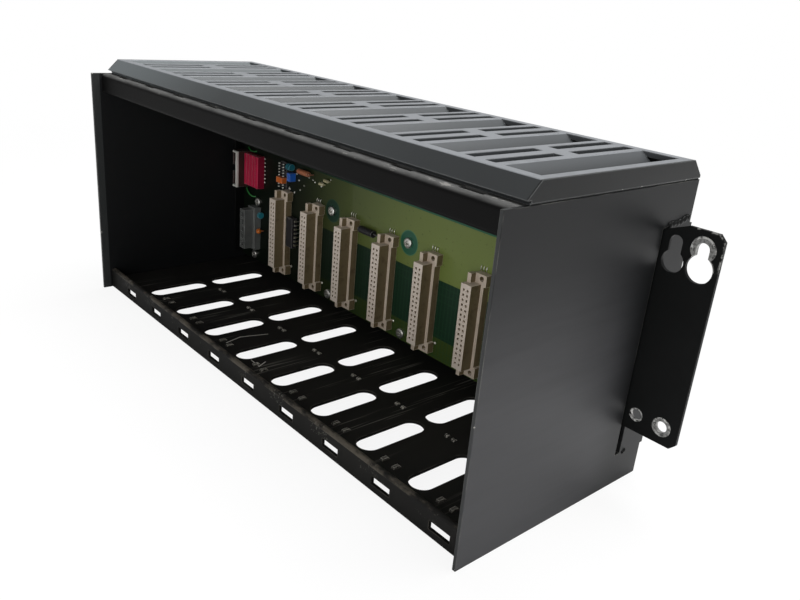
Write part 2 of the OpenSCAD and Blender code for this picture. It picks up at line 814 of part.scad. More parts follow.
// Grey upright power connector with a wider flange and a column of slots
module power_connector() {
    slot_p = (power_l - 2) / 5;
    color("#77787a") at_corner() difference() {
        union() {
            on_board(power_x, power_z, power_w, power_d, power_l);
            on_board(power_x - 0.6, power_z - 1.2, power_w + 2.4, power_flange,
                     power_l + 2.4);
        }
        for (i = [0 : 4])
            translate([power_x + 1.5, board_y - power_d - 1,
                       power_z + 1 + (i + 0.5) * slot_p - 1.6])
                cube([power_w - 3, power_d - 2, 3.2]);
    }
}

// Small two-column header above the first connector
header_x = socket_x(0) - 2.2;
header_z = lug_z + 0.8;
header_l = pin_rows * pin_p;
function pin_z(r) = header_z + (r + 0.5) * pin_p;

// Square holes or pins of the header: their width, their ends in Y, their rows
module header_grid(w, y0, y1, rows) {
    for (c = [-1, 1], r = rows)
        translate([header_x + c * pin_cols / 2 - w / 2, y0, pin_z(r) - w / 2])
            cube([w, y1 - y0, w]);
}

module header_base() {
    color("#1d1d1f") at_corner() difference() {
        on_board(header_x - pin_cols / 2 - 1.1, header_z, pin_cols + 2.2, pin_base,
                 header_l);
        header_grid(pin_w + fit, board_y - pin_base - 1, board_y + 1,
                    [0 : pin_rows - 1]);
    }
}

module header_pins() {
    color("#cfcdc4") at_corner()
        header_grid(pin_w, board_y - pin_l, board_y, [0 : pin_rows - 1]);
}

// Jumper cap pushed over two rows of pins
module jumper_cap() {
    rows = [2, 3];
    z0 = pin_z(rows[0]) - pin_p / 2 + fit;
    color("#c0621e") at_corner() difference() {
        translate([header_x - pin_cols / 2 - 1, board_y - pin_l - 1, z0])
            cube([pin_cols + 2, pin_l + 1 - pin_base, 2 * pin_p - 2 * fit]);
        header_grid(pin_w + fit, board_y - pin_l - fit / 2, board_y, rows);
    }
}

chip_x = socket_x(0) + 9.4;
chip_z = socket_z - 7;
chip_l = legs * leg_p + 1;
chip_y = board_y - chip_t - 0.9;

// Moulded body of the logic chip, standing close beside the first connector
module logic_chip() {
    color("#1b1a1e") at_corner() difference() {
        translate([chip_x - chip_w / 2, chip_y, chip_z]) cube([chip_w, chip_t, chip_l]);
        translate([chip_x, chip_y - 0.1, chip_z + chip_l]) rod_y(1, 0.5);
    }
}

// Formed legs of the chip, down to the board on both sides
module chip_legs() {
    leg_y = board_y - 2.9;
    t = 0.4;
    color("#c4c2ba") at_corner() for (s = [0, 1], i = [0 : legs - 1])
        translate([chip_x, 0, chip_z + 0.5 + (i + 0.5) * leg_p - 0.6])
            mirror([s, 0, 0]) translate([chip_w / 2, 0, 0]) {
                translate([0, leg_y, 0]) cube([0.9, t, 1.2]);
                translate([0.9 - t, leg_y, 0]) cube([t, 1.6, 1.2]);
                translate([0.9 - t, leg_y + 1.6 - eps, 0.35])
                    cube([t, 1.3 + eps, 0.5]);
            }
}

// Blue capacitor in a moulded box with a shallow recess in its face
module box_capacitor() {
    x = socket_x(0) + 4.9;
    z = header_z + 6.4;
    d = 4;
    color("#2556a8") at_corner() difference() {
        on_board(x, z, blue_w, d, blue_h);
        translate([x + 0.7, board_y - d - 1, z + 0.8])
            cube([blue_w - 1.4, 1.4, blue_h - 1.6]);
    }
}

// Teal disc capacitors on edge: two above the blue one, one by the power
// connector
module disc_capacitors() {
    x = socket_x(0) + disc_x;
    z = header_z + disc_z;
    low = [power_x + power_w + beside_power, power_z + power_l - disc_r - 1];
    color("#2b7f86") at_corner()
        for (p = [[x, z], [x + disc_p, z], low])
            translate([p[0], board_y - disc_r, p[1]]) rotate([0, 90, 0])
                cylinder(r = disc_r, h = disc_t);
}

// Orange bead capacitor on two short leads
module bead_capacitor() {
    x = power_x + power_w + beside_power + 0.4;
    y = board_y - bead_r - 1.3;
    z = power_z + bead_z;
    lead = 0.5;
    color("#b8641e") at_corner() {
        translate([x, y, z]) sphere(r = bead_r);
        for (s = [-1, 1])
            translate([x + s * bead_r / 2 - lead / 2, y, z - lead / 2])
                cube([lead, bead_r + 1.3, lead]);
    }
}

// Round body along X from x with a bent lead at each end down to the board
module axial_part(x, z, r, length, d, reach) {
    translate([x, board_y - d, z]) {
        rotate([0, 90, 0]) cylinder(r = r, h = length);
        for (s = [0, 1]) translate([s * length, 0, 0]) mirror([1 - s, 0, 0])
            translate([-0.2, -lead_w / 2, -lead_w / 2]) {
                cube([reach + 0.2, lead_w, lead_w]);
                translate([reach + 0.2 - lead_w, 0, 0])
                    cube([lead_w, d + lead_w / 2, lead_w]);
            }
    }
}

module power_resistor() {
    color("#9c5a3a") at_corner()
        axial_part(socket_x(0) + resistor_x, header_z + resistor_z, resistor_r,
                   resistor_l, resistor_r + 1, 1.9);
}

// Black rectifier between the tops of two connectors
module rectifier() {
    color("#202124") at_corner()
        axial_part(socket_x(2) + 9.8, lug_z - 3.7, rectifier_r, rectifier_l,
                   rectifier_r + 0.4, 2.4);
}

// Two small resistors to the right of the power resistor
module small_resistors() {
    x = socket_x(0) + small_x;
    z = header_z + small_z;
    color("#a39a78") at_corner()
        for (p = [[x, z], [x + small_step_x, z + small_step_z]])
            axial_part(p[0], p[1], small_r, small_l, small_r + 0.45, 0.8);
}

left_side_panel();
right_side_panel();
floor_plate();
top_plate();
rear_panel();
left_ear_bracket();
right_ear_bracket();
louvre_cover();
cover_screws();
backplane_board();
board_spacers();
board_screws();
for (i = [0 : modules - 1])
    card_connector(i);
ribbon_header();
header_latch();
ribbed_block();
power_connector();
header_base();
header_pins();
jumper_cap();
logic_chip();
chip_legs();
box_capacitor();
disc_capacitors();
bead_capacitor();
power_resistor();
rectifier();
small_resistors();
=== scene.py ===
import math

import bpy
import numpy as np
from mathutils import Matrix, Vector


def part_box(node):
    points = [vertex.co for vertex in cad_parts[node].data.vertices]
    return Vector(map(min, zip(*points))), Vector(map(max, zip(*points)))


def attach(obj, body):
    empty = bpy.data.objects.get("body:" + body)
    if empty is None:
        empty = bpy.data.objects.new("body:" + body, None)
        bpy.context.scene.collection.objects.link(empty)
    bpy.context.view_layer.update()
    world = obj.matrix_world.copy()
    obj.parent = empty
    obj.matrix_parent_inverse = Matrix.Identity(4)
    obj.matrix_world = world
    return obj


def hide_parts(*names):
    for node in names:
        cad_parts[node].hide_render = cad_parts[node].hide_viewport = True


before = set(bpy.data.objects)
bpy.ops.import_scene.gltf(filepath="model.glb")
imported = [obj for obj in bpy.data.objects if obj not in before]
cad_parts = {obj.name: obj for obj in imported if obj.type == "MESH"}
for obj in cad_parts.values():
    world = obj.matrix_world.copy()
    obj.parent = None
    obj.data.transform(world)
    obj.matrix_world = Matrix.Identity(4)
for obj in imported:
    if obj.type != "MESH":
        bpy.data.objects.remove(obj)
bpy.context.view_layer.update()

# ---- Side panels ----------------------------------------------------------
# The two side panels are cut from 1.5 mm steel sheet, with a slot for the ear.
# They are sprayed with a satin black paint that has a faint grain, is rubbed
# thin along the edges, and is chipped where it was handled.

PANEL_LOW, PANEL_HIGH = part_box("right_side_panel")
PANEL_FACE, PANEL_TOP = PANEL_HIGH[0], PANEL_HIGH[2]
FRONT_EDGE = PANEL_LOW[1]
BEVEL_SAMPLES = 6
# How deep under a face its paint or texture still counts as the face's own
SURFACE = 0.0003


class Wire:
    """One socket of a node tree that adds up like a number.  An expression such
    as 1 - mask * 0.5 makes the Math nodes that it needs."""

    def __init__(self, nodes, socket):
        self.nodes = nodes
        self.socket = socket

    def _math(self, operation, *values):
        return self.nodes.node("ShaderNodeMath", {"operation": operation}, list(values))

    def __add__(self, other):
        return self._math("ADD", self, other)

    __radd__ = __add__

    def __sub__(self, other):
        return self._math("SUBTRACT", self, other)

    def __rsub__(self, other):
        return self._math("SUBTRACT", other, self)

    def __mul__(self, other):
        return self._math("MULTIPLY", self, other)

    __rmul__ = __mul__

    def __truediv__(self, other):
        return self._math("DIVIDE", self, other)

    def over(self, edge):
        """1 where this is greater than the edge, 0 elsewhere."""
        return self._math("GREATER_THAN", self, edge)

    def under(self, edge):
        """1 where this is less than the edge, 0 elsewhere."""
        return self._math("LESS_THAN", self, edge)

    def either(self, other):
        """The greater of the two values."""
        return self._math("MAXIMUM", self, other)

    def both(self, other):
        """The lesser of the two values."""
        return self._math("MINIMUM", self, other)

    def power(self, exponent):
        return self._math("POWER", self, exponent)

    def size(self):
        """The value without its sign."""
        return self._math("ABSOLUTE", self)

    def repeat(self, step):
        """Distance to the nearest multiple of the step, along this value."""
        return self._math("PINGPONG", self, step / 2)

    def ramp(self, low, high):
        """Rises smoothly from 0 at the low value to 1 at the high one."""
        return self.nodes.node(
            "ShaderNodeMapRange",
            {"interpolation_type": "SMOOTHSTEP"},
            {"Value": self, "From Min": low, "From Max": high, "To Min": 0.0, "To Max": 1.0},
        )


class Nodes:
    """A node tree under construction."""

    def __init__(self, tree):
        self.tree = tree

    def node(self, kind, settings, values, output=0):
        """Adds a node: its settings first, then each socket's value or link."""
        made = self.tree.nodes.new(kind)
        for key, value in settings.items():
            setattr(made, key, value)
        pairs = values.items() if isinstance(values, dict) else enumerate(values)
        for key, value in pairs:
            self.feed(made.inputs[key], value)
        return Wire(self, made.outputs[output])

    def feed(self, socket, value):
        """Links a wire to a socket, or sets the socket to a plain value."""
        if isinstance(value, Wire):
            self.tree.links.new(value.socket, socket)
        else:
            socket.default_value = value


class Finish(Nodes):
    """A material under construction: its node tree, its shader with the
    constants that are set on it, and the object's own x, y and z in metres."""

    def __init__(self, name, **constants):
        self.material = bpy.data.materials.new(name)
        self.material.use_nodes = True
        super().__init__(self.material.node_tree)
        self.shader = self.tree.nodes["Principled BSDF"]
        for socket, value in constants.items():
            self.shader.inputs[socket.replace("_", " ")].default_value = value
        self.place = self.node("ShaderNodeTexCoord", {}, {}, "Object")
        split = self.tree.nodes.new("ShaderNodeSeparateXYZ")
        self.tree.links.new(self.place.socket, split.inputs[0])
        self.x, self.y, self.z = (Wire(self, split.outputs[i]) for i in range(3))

    def noise(self, scale, detail=3.0, rough=0.55, stretch=(1.0, 1.0, 1.0)):
        """Cloudy pattern from 0 to 1; stretch squeezes it along an axis."""
        vector = self.node(
            "ShaderNodeVectorMath", {"operation": "MULTIPLY"}, [self.place, stretch]
        )
        return self.node(
            "ShaderNodeTexNoise",
            {},
            {"Vector": vector, "Scale": scale, "Detail": detail, "Roughness": rough},
        )

    def mix(self, factor, low, high):
        """The low colour where the factor is 0, the high one where it is 1."""
        made = self.tree.nodes.new("ShaderNodeMix")
        made.data_type = "RGBA"
        self.feed(made.inputs[0], factor)
        self.feed(made.inputs[6], low)
        self.feed(made.inputs[7], high)
        return Wire(self, made.outputs[2])

    def rounded(self, radius):
        """The surface's normal with its sharp edges eased by a radius."""
        return self.node("ShaderNodeBevel", {"samples": BEVEL_SAMPLES}, {"Radius": radius})

    def edges(self, radius):
        """1 on sharp edges, falling to 0 a radius away: how far the rounded
        normal turns from the flat one."""
        rounded = self.rounded(radius)
        flat = self.node("ShaderNodeNewGeometry", {}, {}, "Normal")
        turn = self.node(
            "ShaderNodeVectorMath", {"operation": "DOT_PRODUCT"}, [rounded, flat], "Value"
        )
        return (1 - turn).ramp(0.01, 0.16)

    def bump(self, height, distance, strength=1.0, radius=None):
        """A normal for a height map of that depth, over edges eased by a radius."""
        values = {"Height": height, "Distance": distance, "Strength": strength}
        if radius:
            values["Normal"] = self.rounded(radius)
        return self.node("ShaderNodeBump", {}, values)

    def wear(self, colour=None, roughness=None, metallic=None, normal=None):
        """Feeds the shader what varies over the surface, and gives the material."""
        for socket, value in (
            ("Base Color", colour),
            ("Roughness", roughness),
            ("Metallic", metallic),
            ("Normal", normal),
        ):
            if value is not None:
                self.feed(self.shader.inputs[socket], value)
        return self.material


def rgb(red, green, blue):
    """A colour written in screen values from 0 to 255, as linear light."""
    def linear(v):
        v = v / 255
        return v / 12.92 if v <= 0.04045 else ((v + 0.055) / 1.055) ** 2.4
    return (linear(red), linear(green), linear(blue), 1.0)


def dress(material, *names):
    """Gives a material to CAD nodes, in their material slots."""
    for name in names:
        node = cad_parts[name]
        node.data.materials.clear()
        node.data.materials.append(material)


BARE_STEEL = rgb(168, 166, 160)


def black_paint(name, colour, paler_tone, gloss=0.42, chips=0.66, specular=0.5):
    """Satin black paint on folded steel: a slow cloudiness, a fine orange peel,
    thin paint on the edges and chips to bare metal where the noise is high."""
    coat = Finish(name, Specular_IOR_Level=specular)
    cloud = coat.noise(14.0, 4.0)
    fine = coat.noise(420.0, 2.0)
    chip = coat.noise(190.0, 3.0, 0.7).over(chips)
    edge = coat.edges(0.0007)
    rubbed = edge * coat.noise(60.0, 3.0, 0.7).ramp(0.42, 0.62)
    bare = chip * coat.edges(0.0016).ramp(0.05, 0.4)
    body = coat.mix(cloud.ramp(0.35, 0.7), colour, paler_tone)
    body = coat.mix(rubbed * 0.55, body, rgb(112, 112, 108))
    body = coat.mix(bare, body, BARE_STEEL)
    return coat.wear(
        colour=body,
        roughness=gloss + cloud * 0.12 - rubbed * 0.1,
        metallic=bare * 0.9,
        normal=coat.bump(fine * 0.6 + cloud * 0.4, 0.00004, 0.5, 0.0004),
    )


# The outside's painted reflection is full below this height and as far back as
# this depth; it is less so up to the top, and back to where it ends by the ear's
# slot, which leaves painted shade beside the ear
SHEEN_FULL_BELOW = 0.05
SHEEN_BACK_TO, SHEEN_ENDS = 0.012, 0.047
CUT_FACE, FRONT_STRIP, TOP_STRIP = 0.0009, 0.0042, 0.0012


def panel_paint():
    """The panels' paint: a painted reflection on the outside, pale low and at the
    front, fading towards the top and into painted shade beside the ear, and
    chipped along the front edge."""
    coat = Finish("panel_paint", Specular_IOR_Level=0.24)
    cloud = coat.noise(9.0, 4.0)
    fine = coat.noise(700.0, 2.0)
    brushed = coat.noise(60.0, 4.0, 0.65, (1.0, 0.25, 3.0))
    outside = coat.x.size().over(PANEL_FACE - SURFACE)
    # Painted reflection on the outside, mottled by the grain, with painted shade towards the
    # top and beside the ear
    height = coat.z.ramp(PANEL_TOP, SHEEN_FULL_BELOW) * 0.82 + 0.18
    sheen = height * coat.y.ramp(SHEEN_ENDS, SHEEN_BACK_TO) * outside
    sheen = sheen * (cloud * 0.5 + brushed * 0.4 + 0.3)
    edge = coat.edges(0.0006)
    front = coat.y.under(FRONT_EDGE + CUT_FACE)
    strip = coat.y.under(FRONT_EDGE + FRONT_STRIP) * (1 - outside)
    rubbed = edge * coat.noise(55.0, 3.0, 0.7).ramp(0.4, 0.62)
    chip = coat.noise(150.0, 4.0, 0.75).over(0.665) * coat.edges(0.0018).ramp(0.02, 0.3)
    chip = chip * front.either(coat.z.over(PANEL_TOP - TOP_STRIP))
    # The painted reflection lifts the black paint to grey
    body = coat.mix(sheen.ramp(0.0, 1.0), rgb(17, 18, 19), rgb(62, 62, 64))
    body = coat.mix(strip * 0.6, body, rgb(58, 60, 60))
    body = coat.mix(rubbed * 0.6, body, rgb(118, 118, 112))
    body = coat.mix(chip, body, BARE_STEEL)
    return coat.wear(
        colour=body,
        roughness=0.42 + cloud * 0.14 - rubbed * 0.1,
        metallic=chip * 0.9,
        normal=coat.bump(fine * 0.6 + brushed * 0.6, 0.00005, 0.5, 0.0003),
    )


dress(panel_paint(), "left_side_panel", "right_side_panel")

# ---- Floor plate, top plate and rear panel --------------------------------
# The floor and the top plate are punched and folded from the same steel, and
# welded between the side panels.  Cards slid in and out have scratched the
# floor behind the pressed guides.  Painted highlights lie on the guides' corners,
# along the ridge of the floor's lip and along the bend of the top plate's rail.

FIRST_VENT = -0.11725
MODULE_PITCH = 0.0335
FLOOR_TOP, RIDGE_LOW = 0.0067, 0.0104
GUIDE_HALF, GUIDES_FROM = 0.0062, -0.0445
GUIDE_LOW, GUIDE_HIGH = 0.0002, 0.0012
SCRATCH_HALF, SCRATCH_WAVER = 0.00028, 0.003
# Ends of the longer scratches, each as a pair of places in X and Y
SCRATCHES = [
    ((-0.0340, -0.0383), (-0.0369, -0.0283)),
    ((-0.0369, -0.0283), (-0.0327, -0.0135)),
    ((-0.0100, -0.0375), (-0.0013, -0.0381)),
    ((-0.0013, -0.0381), (-0.0042, -0.0323)),
]


def scratched_paint():
    """The floor: fine streaks behind each pair of guides, a painted highlight on
    the guides' corners, a few long scratches, and a painted highlight in patches
    along the ridge of the front lip."""
    coat = Finish("floor_paint", Specular_IOR_Level=0.15)
    cloud = coat.noise(16.0, 4.0)
    across = (coat.x - FIRST_VENT).repeat(MODULE_PITCH)
    lane = (MODULE_PITCH / 2 - across).under(GUIDE_HALF)
    upper = coat.z.over(FLOOR_TOP - SURFACE)
    streak = coat.noise(900.0, 2.0, 0.6, (1.0, 0.02, 1.0)).ramp(0.56, 0.66)
    length = coat.noise(45.0, 1.0, 0.5, (1.0, 0.35, 1.0)).ramp(0.46, 0.6)
    rubbed = streak * length * lane * upper
    # Painted highlight on the pressed guides: faint on their tops, brightest on their corners
    pressed = coat.z.over(FLOOR_TOP + GUIDE_LOW) * coat.z.under(FLOOR_TOP + GUIDE_HIGH)
    pressed = pressed * coat.y.over(GUIDES_FROM)
    guide = pressed * (coat.edges(0.0007) * 1.6 + 0.15).both(1.0)
    guide = guide * coat.noise(500.0, 2.0, 0.7).ramp(0.3, 0.5)
    edge = coat.edges(0.0008) * coat.noise(70.0, 3.0, 0.7).ramp(0.35, 0.6)
    patches = coat.noise(130.0, 4.0, 0.7, (0.5, 1.0, 1.0)).ramp(0.38, 0.62)
    # Painted highlight in patches along the ridge of the front lip's bend
    ridge = coat.z.over(RIDGE_LOW) * patches
    body = coat.mix(cloud.ramp(0.35, 0.7), rgb(20, 20, 19), rgb(27, 26, 24))
    body = coat.mix(rubbed * 0.45, body, rgb(140, 138, 130))
    body = coat.mix(guide, body, rgb(222, 218, 206))
    body = coat.mix(ridge * 0.75, body, rgb(98, 92, 82))
    for (x0, y0), (x1, y1) in SCRATCHES:
        run, rise = x1 - x0, y1 - y0
        long = math.hypot(run, rise)
        right, back = coat.x - x0, coat.y - y0
        along = (right * run + back * rise) / long
        off = (right * rise - back * run) / long + (cloud - 0.5) * SCRATCH_WAVER
        line = off.size().under(SCRATCH_HALF) * along.over(0.0) * along.under(long)
        body = coat.mix(line * upper * 0.95, body, rgb(205, 202, 194))
    body = coat.mix(edge * 0.5, body, rgb(110, 106, 98))
    return coat.wear(
        colour=body,
        roughness=0.55 + cloud * 0.12 - ridge * 0.1,
        normal=coat.bump(cloud - rubbed * 0.3, 0.00003, 0.4, 0.0005),
    )


BEND_FROM, BEND_FULL, BEND_BACK = 0.0016, 0.0003, 0.014


def rail_paint():
    """The top plate: black, and darker still as painted shade for its front flange,
    with a painted highlight in grey streaks along the bend of its front rail and
    the strip in front of the cover, along their whole length."""
    coat = Finish("rail_paint", Specular_IOR_Level=0.08)
    cloud = coat.noise(16.0, 4.0)
    rail_streaks = coat.noise(220.0, 5.0, 0.75, (0.25, 1.0, 1.0))
    # Painted highlight along the bend of the front rail and the strip in front of the cover, in
    # streaks, with brighter glints
    bend = coat.z.ramp(PANEL_TOP - BEND_FROM, PANEL_TOP - BEND_FULL)
    bend = bend * coat.y.under(FRONT_EDGE + BEND_BACK)
    paler_tone = bend * (rail_streaks.ramp(0.3, 0.6) * 0.5 + 0.5)
    bright = bend * rail_streaks.over(0.62)
    # Painted shade: a darker black than the other parts' paint, for the front flange
    body = coat.mix(cloud.ramp(0.35, 0.7), rgb(8, 8, 8), rgb(12, 11, 11))
    body = coat.mix(paler_tone, body, rgb(88, 88, 87))
    body = coat.mix(bright * 0.7, body, rgb(140, 138, 134))
    return coat.wear(
        colour=body,
        roughness=0.5 + cloud * 0.1 - paler_tone * 0.1,
        normal=coat.bump(rail_streaks * bend, 0.00006, 0.5, 0.0004),
    )


dress(scratched_paint(), "floor_plate")
dress(rail_paint(), "top_plate")
inner_paint = black_paint(
    "inner_paint", rgb(24, 25, 25), rgb(30, 31, 31), gloss=0.5, chips=0.8, specular=0.2
)
dress(inner_paint, "rear_panel")

# ---- Ear brackets ---------------------------------------------------------
# Each ear is an L-shaped steel bracket: one leg is welded inside the side panel
# and the other passes out through a slot.  Mounting screws have ground the paint
# off around the narrow end of the keyhole and around the round holes.

HOLE_X, INNER_X = 0.0159, 0.0045
KEY_TOP_Z, ROUND_Z = 0.1083, 0.0355
# Radii of the ground rings, and of the greyer part inside the two outer ones
KEY_RING, KEY_GREY = 0.0049, 0.0041
ROUND_RING, ROUND_GREY = 0.0040, 0.0031
INNER_RING = 0.0029
CHIPS_OUT, CHIPS_UP = 0.012, 0.101


def ear_paint():
    """The ears' paint: near black, with ground rings round the holes that are
    brightest along their rims, and chips on the upper part of the outer edge."""
    coat = Finish("ear_paint", Specular_IOR_Level=0.15)
    cloud = coat.noise(20.0, 4.0)
    fine = coat.noise(520.0, 3.0, 0.7)
    out = coat.x.size() - PANEL_FACE

    def ring(x, z, radius, ragged):
        """1 within a ragged radius of the place x out from the panel and z up."""
        across, up = out - x, coat.z - z
        reach = (across * across + up * up).power(0.5)
        reach = reach + coat.noise(260.0, 3.0) * ragged
        return reach.under(radius + ragged / 2)

    ground = ring(HOLE_X, KEY_TOP_Z, KEY_RING, 0.0009).either(
        ring(HOLE_X, ROUND_Z, ROUND_RING, 0.0005)
    )
    grey = ring(HOLE_X, KEY_TOP_Z, KEY_GREY, 0.0009).either(
        ring(HOLE_X, ROUND_Z, ROUND_GREY, 0.0003)
    )
    patch = coat.noise(400.0, 3.0, 0.7).ramp(0.4, 0.5)
    # A grey patch nearer the panel, level with the round hole, is added to the rings and
    # coloured like them
    ground = ground.either(ring(INNER_X, ROUND_Z, INNER_RING, 0.0) * patch)
    grit = coat.noise(620.0, 3.0, 0.75).ramp(0.36, 0.56) * 0.75 + 0.25
    rubbed = ground * fine.ramp(0.2, 0.36) * grit
    rim = (ground - grey) * fine.over(0.52)
    edge = coat.edges(0.0012) * coat.noise(170.0, 4.0, 0.75).ramp(0.46, 0.54)
    chip = edge * out.over(CHIPS_OUT) * coat.z.over(CHIPS_UP)
    body = coat.mix(cloud.ramp(0.35, 0.7), rgb(9, 10, 10), rgb(13, 14, 14))
    body = coat.mix(rubbed, body, rgb(150, 150, 148))
    body = coat.mix(rim * 0.7, body, rgb(226, 226, 222))
    body = coat.mix(chip * 0.9, body, rgb(170, 170, 166))
    return coat.wear(
        colour=body,
        roughness=0.45 + cloud * 0.1 - rubbed * 0.1,
        metallic=rubbed * 0.5,
        normal=coat.bump(cloud - rubbed * 0.5, 0.00004, 0.6, 0.0004),
    )


dress(ear_paint(), "left_ear_bracket", "right_ear_bracket")

# ---- Louvre cover ---------------------------------------------------------
# The cover is moulded in one piece in grey-black plastic with a fine spark
# texture.  It is screwed down from inside.  Painted light makes it paler to the
# left and darker to the right, lights the slanting blades, more so to the right,
# puts a paler highlight on its rims and the darkest shade on its ends, over the
# side panels.

COVER_LOW, COVER_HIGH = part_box("louvre_cover")
COVER_TOP = COVER_HIGH[2]
COVER_BEVEL, BLADE_DEEP = 0.006, 0.006
RIM_SKIN, END_WALL, END_SKIN, CHIP_STRIP = 0.00025, 0.0065, 0.0007, 0.0009


def moulded_cover():
    """The cover's plastic, in painted light and shade: paler towards the left
    and darker towards the right, lit blades, a painted highlight on the rims,
    painted shade on the ends, and a few chips along the ends' lower edge."""
    skin = Finish("cover_plastic", Specular_IOR_Level=0.26)
    grain = skin.noise(1600.0, 2.0, 0.6)
    cloud = skin.noise(11.0, 3.0)
    rim_mottle = skin.noise(90.0, 4.0, 0.65)
    edge = skin.edges(0.0007)
    upper = skin.z.over(COVER_TOP - RIM_SKIN)
    rightward = skin.x.ramp(-0.12, 0.14)
    rim = upper * (rim_mottle.ramp(0.2, 0.6) * 0.3 + 0.6)
    blade = skin.z.ramp(COVER_TOP - BLADE_DEEP, COVER_TOP)
    blade = blade * skin.y.over(COVER_LOW[1] + COVER_BEVEL)
    blade = blade * (1 - skin.x.size().over(COVER_HIGH[0] - END_WALL))
    end = skin.x.size().over(COVER_HIGH[0] - END_SKIN)
    body = skin.mix(cloud.ramp(0.3, 0.7), rgb(52, 55, 56), rgb(60, 63, 64))
    # Painted light and shade: paler towards the left, darker towards the right
    body = skin.mix(skin.x.ramp(-0.02, -0.16), body, rgb(92, 98, 100))
    body = skin.mix(skin.x.ramp(0.02, 0.15) * 0.6, body, rgb(32, 33, 34))
    # Painted light on the slanting blades, growing towards the right
    body = skin.mix(blade * (rightward * 0.55 + 0.1), body, rgb(88, 91, 94))
    # Painted highlight on the rims' top faces
    body = skin.mix(rim, body, rgb(128, 131, 135))
    # Painted shade on the ends over the side panels
    body = skin.mix(end * 0.9, body, rgb(8, 9, 9))
    body = skin.mix(edge * 0.4, body, rgb(140, 142, 142))
    chip = skin.noise(240.0, 3.0, 0.7).over(0.66) * skin.z.under(COVER_LOW[2] + CHIP_STRIP)
    body = skin.mix(chip * end, body, rgb(150, 150, 146))
    return skin.wear(
        colour=body,
        roughness=0.34 + grain * 0.1 - edge * 0.06,
        normal=skin.bump(grain, 0.00003, 0.5, 0.0005),
    )


dress(moulded_cover(), "louvre_cover")

# ---- Screws and spacers ---------------------------------------------------
# Zinc plated pan-head screws hold the board on clinched spacers.  Each head is
# cold formed, with a cross recess punched in it.  Other screws hold the cover
# from below.


def add_piece(name, points, faces, material, slot, crease=40.0):
    """Makes a mesh object at the origin from arrays of points and faces, smooth
    except where two faces meet at more than the crease angle."""
    mesh = bpy.data.meshes.new(name)
    mesh.from_pydata(points.tolist(), [], [f for part in faces for f in part.tolist()])
    mesh.polygons.foreach_set("use_smooth", np.ones(len(mesh.polygons), bool))
    mesh.set_sharp_from_angle(angle=math.radians(crease))
    mesh.materials.append(material)
    piece = bpy.data.objects.new(name, mesh)
    bpy.context.scene.collection.objects.link(piece)
    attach(piece, "root")
    return piece


def closed_skin(near, rings, far):
    """Points and faces of a closed surface over an array of rings: a pole point,
    the rings' points, and the other pole.  Quads join neighbouring rings, and a
    fan of triangles joins each pole to the ring beside it."""
    rows, around = rings.shape[:2]
    ring = np.arange(around)
    turned = (ring + 1) % around
    first = 1 + around * np.arange(rows - 1)[:, None]
    quads = np.stack(
        [first + ring, first + around + ring, first + around + turned, first + turned], -1
    ).reshape(-1, 4)
    near_fan = np.column_stack([np.zeros(around, int), 1 + ring, 1 + turned])
    last = 1 + around * (rows - 1)
    far_fan = np.column_stack([np.full(around, last + around), last + turned, last + ring])
    return np.concatenate([[near], rings.reshape(-1, 3), [far]]), [quads, near_fan, far_fan]


def turned_about_y(radius, height, around):
    """Rings about the Y axis, from each one's radius and its height towards -Y,
    which may differ round a ring."""
    turn = np.arange(around) * 2 * math.pi / around
    across, up = radius[:, None] * np.cos(turn), radius[:, None] * np.sin(turn)
    return np.stack([across, -np.broadcast_to(height, across.shape), up], -1)


def repeat_at(places, skin):
    """Copies of a small mesh's points and faces at several places, as one mesh."""
    points, faces = skin
    places = np.asarray(places, float)
    step = len(points) * np.arange(len(places))[:, None, None]
    copies = (points[None] + places[:, None]).reshape(-1, 3)
    return copies, [(f[None] + step).reshape(-1, f.shape[1]) for f in faces]


def plated(name, colour, rough=0.3):
    """Bright plated metal with a slightly clouded shine."""
    metal = Finish(name, Metallic=1.0)
    cloud = metal.noise(260.0, 3.0)
    return metal.wear(
        colour=metal.mix(cloud.ramp(0.3, 0.7), colour, rgb(214, 212, 206)),
        roughness=rough + cloud * 0.2,
        normal=metal.bump(cloud, 0.00002, 0.5, 0.0002),
    )


zinc = plated("zinc_plate", rgb(176, 176, 170))
dress(zinc, "board_spacers", "cover_screws")

BOARD_LOW, BOARD_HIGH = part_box("backplane_board")
BOARD_FACE = BOARD_LOW[1]
SCREW_COLUMNS = (-0.05185, 0.01515, 0.08215)
SCREW_LOW, SCREW_HIGH = 0.0136, 0.065
LEFT_SCREW_X, RIGHT_SCREW_X = -0.136, 0.1445
POWER_SCREW = (-0.1328, 0.0504)
HEAD_R, HEAD_H = 0.0028, 0.0018
SHANK_R, SHANK_L, TIP_L = 0.00145, 0.0076, 0.0006
CROSS_ARM, CROSS_HALF, CROSS_DEEP = 0.0016, 0.00038, 0.0011
CROSS_SIDE, CROSS_END = 0.00012, 0.0003


